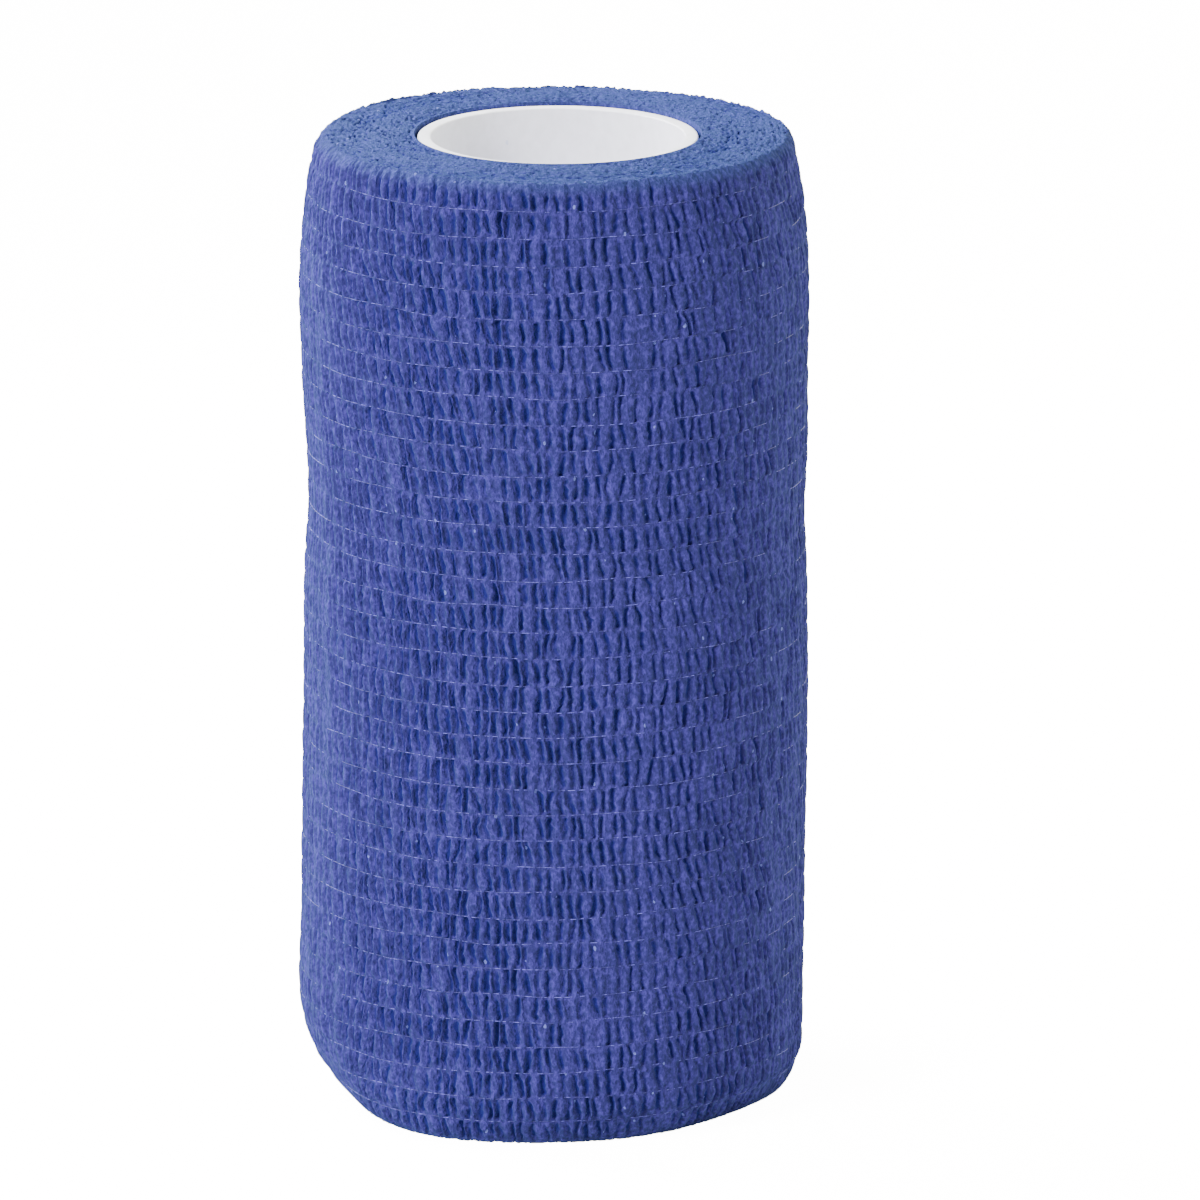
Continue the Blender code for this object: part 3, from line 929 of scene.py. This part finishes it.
class ROLL_OT_elastic_threads(Operator):
    """Makes the elastic threads that run round the roll between its rows of folds"""

    bl_idname = "roll.elastic_threads"
    bl_label = "Elastic threads"

    SIDES = 4  # of each thread's tube
    SMOOTHING = (0.25, 0.5, 0.25)  # shares of a point and its neighbours in a thread's radius
    FINE_FREEDOM = 0.9  # a thread's finer comings and goings, as a share of its longer ones
    HIDING = 1.6  # how much less free a thread lies where none of it shows

    def execute(self, context):
        scene = context.scene
        threads = scene.roll_threads
        grid = ClothGrid(scene.roll_crinkle, threads, scene.roll_ends)
        points = []
        faces = []
        for line in range(1, threads.count + 1):
            row = grid.places[grid.side_start + len(CELL_ROWS) * line]
            path = self.path(row[THREAD_COLUMNS], threads, line / (threads.count + 1))
            faces += self.tube_faces(len(path), sum(len(part) for part in points))
            points.append(self.rings(path, threads.radius).reshape(-1, 3))
        mesh = bpy.data.meshes.new("elastic_threads")
        mesh.from_pydata(np.vstack(points).tolist(), [], faces)
        mesh.shade_smooth()
        place_piece("elastic_threads", mesh, thread_material(scene.roll_colours.thread))
        return {"FINISHED"}

    def path(self, row, threads, up):
        """Points of one thread along a row of the cloth's points, sunk into the cloth in places."""
        world = np.arctan2(row[:, 1], row[:, 0])
        across = from_cut_end(world) / FULL_TURN
        radius = np.hypot(row[:, 0], row[:, 1])
        radius = np.convolve(np.pad(radius, 1, "edge"), self.SMOOTHING, "valid")
        up = 0.0 * across + up
        freedom = soft_noise("thread_freedom", across, up)
        freedom += self.FINE_FREEDOM * soft_noise("fine_thread_freedom", across, up)
        freedom -= self.HIDING * (1.0 - looked_up(THREAD_SHOWS, across))
        radius = radius + looked_up(THREAD_STANDS, freedom) * threads.radius
        tail = threads.tail / radius[0]
        world = np.concatenate([world[:1] - tail, world[:1] - 0.5 * tail, world])
        radius = np.concatenate([[radius[-1], radius[-1]], radius])
        height = np.concatenate([row[:1, 2], row[:1, 2], row[:, 2]])
        return np.stack([radius * np.cos(world), radius * np.sin(world), height], axis=1)

    def rings(self, path, thickness):
        """Rings of points round a path that runs about the roll's axis."""
        outward = path * (1.0, 1.0, 0.0)
        outward /= np.linalg.norm(outward, axis=1)[:, None]
        turn = FULL_TURN * (np.arange(self.SIDES) + 0.5) / self.SIDES
        spread = outward[:, None, :] * np.cos(turn)[None, :, None]
        rise = np.array([0.0, 0.0, 1.0]) * np.sin(turn)[None, :, None]
        return path[:, None, :] + thickness * (spread + rise)

    def tube_faces(self, count, first):
        """Faces of a closed tube of rings, which are numbered from the first point on."""
        sides = self.SIDES
        faces = []
        last = first + (count - 1) * sides
        for low in range(first, last, sides):
            for side in range(sides):
                one, two = low + side, low + (side + 1) % sides
                faces.append((one, one + sides, two + sides, two))
        faces.append(tuple(range(first, first + sides)))
        faces.append(tuple(range(last + sides - 1, last - 1, -1)))
        return faces


class ROLL_OT_core_tube(Operator):
    """Makes the plastic tube that the cloth is wound on, with its rounded rims"""

    bl_idname = "roll.core_tube"
    bl_label = "Core tube"

    BORE_RADIUS = CORE_RADIUS - 0.00138
    OUTER_ROUND = 0.00025  # radius of the round between the outside and an end
    ROUND_ANGLES = (22.0, 45.0, 68.0, 90.0)
    BEVEL = 0.00022  # width of the bevel between an end and the bore
    CREST_IN, CREST_DOWN, BEVEL_DOWN = 0.35, 0.2, 0.8  # shares of it in and down to its points
    NEAR_END, FURTHER, FAR = 0.002, 0.006, 0.02  # distances of rows of points from an end
    COLUMNS = 180
    WAVER = 0.00004  # how far the tube is out of round
    SHARP_ANGLE = math.radians(30.0)

    def profile(self):
        """Radius and height of each row of points, from the outside's middle up and all round."""
        high = CORE_HIGH.z
        middle = 0.5 * ROLL_HEIGHT
        bore = self.BORE_RADIUS
        bevel = self.BEVEL
        size = self.OUTER_ROUND
        upper = [(CORE_RADIUS, middle)]
        upper += [(CORE_RADIUS, high - down) for down in (self.FURTHER, self.NEAR_END, size)]
        for turn in np.radians(self.ROUND_ANGLES):
            out, rise = size * math.cos(turn), size * math.sin(turn)
            upper.append((CORE_RADIUS - size + out, high - size + rise))
        upper += [
            (bore + bevel, high),
            (bore + self.CREST_IN * bevel, high - self.CREST_DOWN * bevel),
            (bore, high - self.BEVEL_DOWN * bevel),
        ]
        upper += [(bore, high - down) for down in (self.NEAR_END, self.FURTHER, self.FAR)]
        upper.append((bore, middle))
        lower = [(radius, 2.0 * middle - height) for radius, height in reversed(upper[1:-1])]
        return np.array(upper + lower)

    def execute(self, context):
        radius, height = (column[:, None] for column in self.profile().T)
        rows, columns = len(radius), self.COLUMNS
        turn = FULL_TURN * np.arange(columns) / columns
        across = np.tile(turn / FULL_TURN, (rows, 1))
        height = np.tile(height, (1, columns))
        crest = self.CREST_IN * self.BEVEL
        # How far a point lies on the bore's wall, where the material paints shade.
        bore_shade_share = np.clip((self.BORE_RADIUS + crest - radius) / crest, 0.0, 1.0)
        radius = radius + self.WAVER * soft_noise("core_waver", across, height / ROLL_HEIGHT)
        x = radius * np.cos(turn) + CORE_CENTRE_X
        places = np.stack([x, radius * np.sin(turn), height], axis=2)
        index = np.arange(rows * columns).reshape(rows, columns)
        along = np.roll(index, -1, axis=1)
        quads = [index, np.roll(index, -1, axis=0), np.roll(along, -1, axis=0), along]
        quads = np.stack(quads, axis=2).reshape(-1, 4)
        mesh = bpy.data.meshes.new("core_tube_finish")
        mesh.from_pydata(places.reshape(-1, 3).tolist(), [], quads.tolist())
        point_values(mesh, "bore", np.repeat(bore_shade_share, columns))
        mesh.shade_smooth()
        mesh.set_sharp_from_angle(angle=self.SHARP_ANGLE)
        colours = context.scene.roll_colours
        finish = core_material(colours.core, colours.bore)
        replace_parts(place_piece("core_tube_finish", mesh, finish), CORE_NODE)
        return {"FINISHED"}


class ROLL_OT_studio_stage(Operator):
    """Sets the pale floor, the soft lights and the camera"""

    bl_idname = "roll.studio_stage"
    bl_label = "Studio stage"

    FLOOR_HALF = 2.0
    LIGHTS_AIM = (0.0, 0.0, 0.06)
    # Name, place, size, power in watts and colour of each light.
    LIGHTS = (
        ("key_softbox", (-0.88, -0.87, 0.8), 0.5, 52.0, (1.0, 1.0, 1.0)),
        ("fill_softbox", (1.25, -0.12, 0.35), 1.0, 17.0, (0.98, 1.0, 0.68)),
        ("rear_softbox", (0.7, 0.9, 0.5), 1.0, 19.0, (1.0, 1.0, 0.88)),
        ("top_softbox", (-0.13, 0.10, 0.22), 0.14, 1.95, (1.0, 1.0, 1.0)),
    )
    SENSOR_WIDTH = 36.0  # of the camera, in millimetres

    def execute(self, context):
        self.floor(context.scene)
        self.lights(context.scene)
        self.world(context.scene)
        self.camera(context.scene)
        return {"FINISHED"}

    def floor(self, scene):
        half = self.FLOOR_HALF
        mesh = bpy.data.meshes.new("studio_floor")
        corners = [(-half, -half, 0.0), (half, -half, 0.0), (half, half, 0.0), (-half, half, 0.0)]
        mesh.from_pydata(corners, [], [(0, 1, 2, 3)])
        mesh.materials.append(floor_material())
        floor = bpy.data.objects.new("studio_floor", mesh)
        scene.collection.objects.link(floor)

    @staticmethod
    def turn_to(item, aim):
        """Turns a lamp or a camera towards a place."""
        item.rotation_euler = (Vector(aim) - item.location).to_track_quat("-Z", "Y").to_euler()

    def lights(self, scene):
        for name, place, size, power, colour in self.LIGHTS:
            lamp = bpy.data.lights.new(name, "AREA")
            lamp.size = size
            lamp.energy = power
            lamp.color = colour
            light = bpy.data.objects.new(name, lamp)
            light.location = place
            self.turn_to(light, self.LIGHTS_AIM)
            scene.collection.objects.link(light)

    @staticmethod
    def world(scene):
        world = bpy.data.worlds.new("pale_studio")
        world.use_nodes = True
        background = world.node_tree.nodes["Background"]
        set_inputs(background, Color=(0.97, 0.98, 1.0, 1.0), Strength=0.42)
        scene.world = world

    def camera(self, scene):
        stage = scene.roll_stage
        lens = bpy.data.cameras.new("photo_view")
        lens.sensor_width = self.SENSOR_WIDTH
        lens.lens = stage.lens
        camera = bpy.data.objects.new("photo_view", lens)
        camera.location = (0.0, -stage.camera_distance, stage.camera_height)
        self.turn_to(camera, (stage.aim_side, 0.0, stage.aim_height))
        scene.collection.objects.link(camera)
        scene.camera = camera


class ROLL_PT_sidebar(Panel):
    """Lists the roll's settings and the steps that make it"""

    bl_idname = "ROLL_PT_sidebar"
    bl_label = "Bandage roll"
    bl_space_type = "VIEW_3D"
    bl_region_type = "UI"
    bl_category = "Bandage"

    def draw(self, context):
        layout = self.layout
        for settings_name, operator in (
            ("roll_crinkle", ROLL_OT_wound_cloth),
            ("roll_threads", ROLL_OT_elastic_threads),
            ("roll_ends", None),
            ("roll_colours", ROLL_OT_core_tube),
            ("roll_stage", ROLL_OT_studio_stage),
        ):
            settings = getattr(context.scene, settings_name)
            box = layout.box()
            for name in settings.__annotations__:
                box.prop(settings, name)
            if operator:
                box.operator(operator.bl_idname)


CLASSES = (
    RollCrinkle,
    RollThreads,
    RollEnds,
    RollColours,
    RollStage,
    ROLL_OT_wound_cloth,
    ROLL_OT_elastic_threads,
    ROLL_OT_core_tube,
    ROLL_OT_studio_stage,
    ROLL_PT_sidebar,
)
SETTINGS = (
    ("roll_crinkle", RollCrinkle),
    ("roll_threads", RollThreads),
    ("roll_ends", RollEnds),
    ("roll_colours", RollColours),
    ("roll_stage", RollStage),
)


def register():
    for cls in CLASSES:
        bpy.utils.register_class(cls)
    for name, cls in SETTINGS:
        setattr(bpy.types.Scene, name, PointerProperty(type=cls))


def unregister():
    for name, _ in SETTINGS:
        delattr(bpy.types.Scene, name)
    for cls in reversed(CLASSES):
        bpy.utils.unregister_class(cls)


def main():
    register()
    bpy.ops.roll.wound_cloth()
    bpy.ops.roll.elastic_threads()
    bpy.ops.roll.core_tube()
    bpy.ops.roll.studio_stage()


if __name__ == "__main__":
    main()
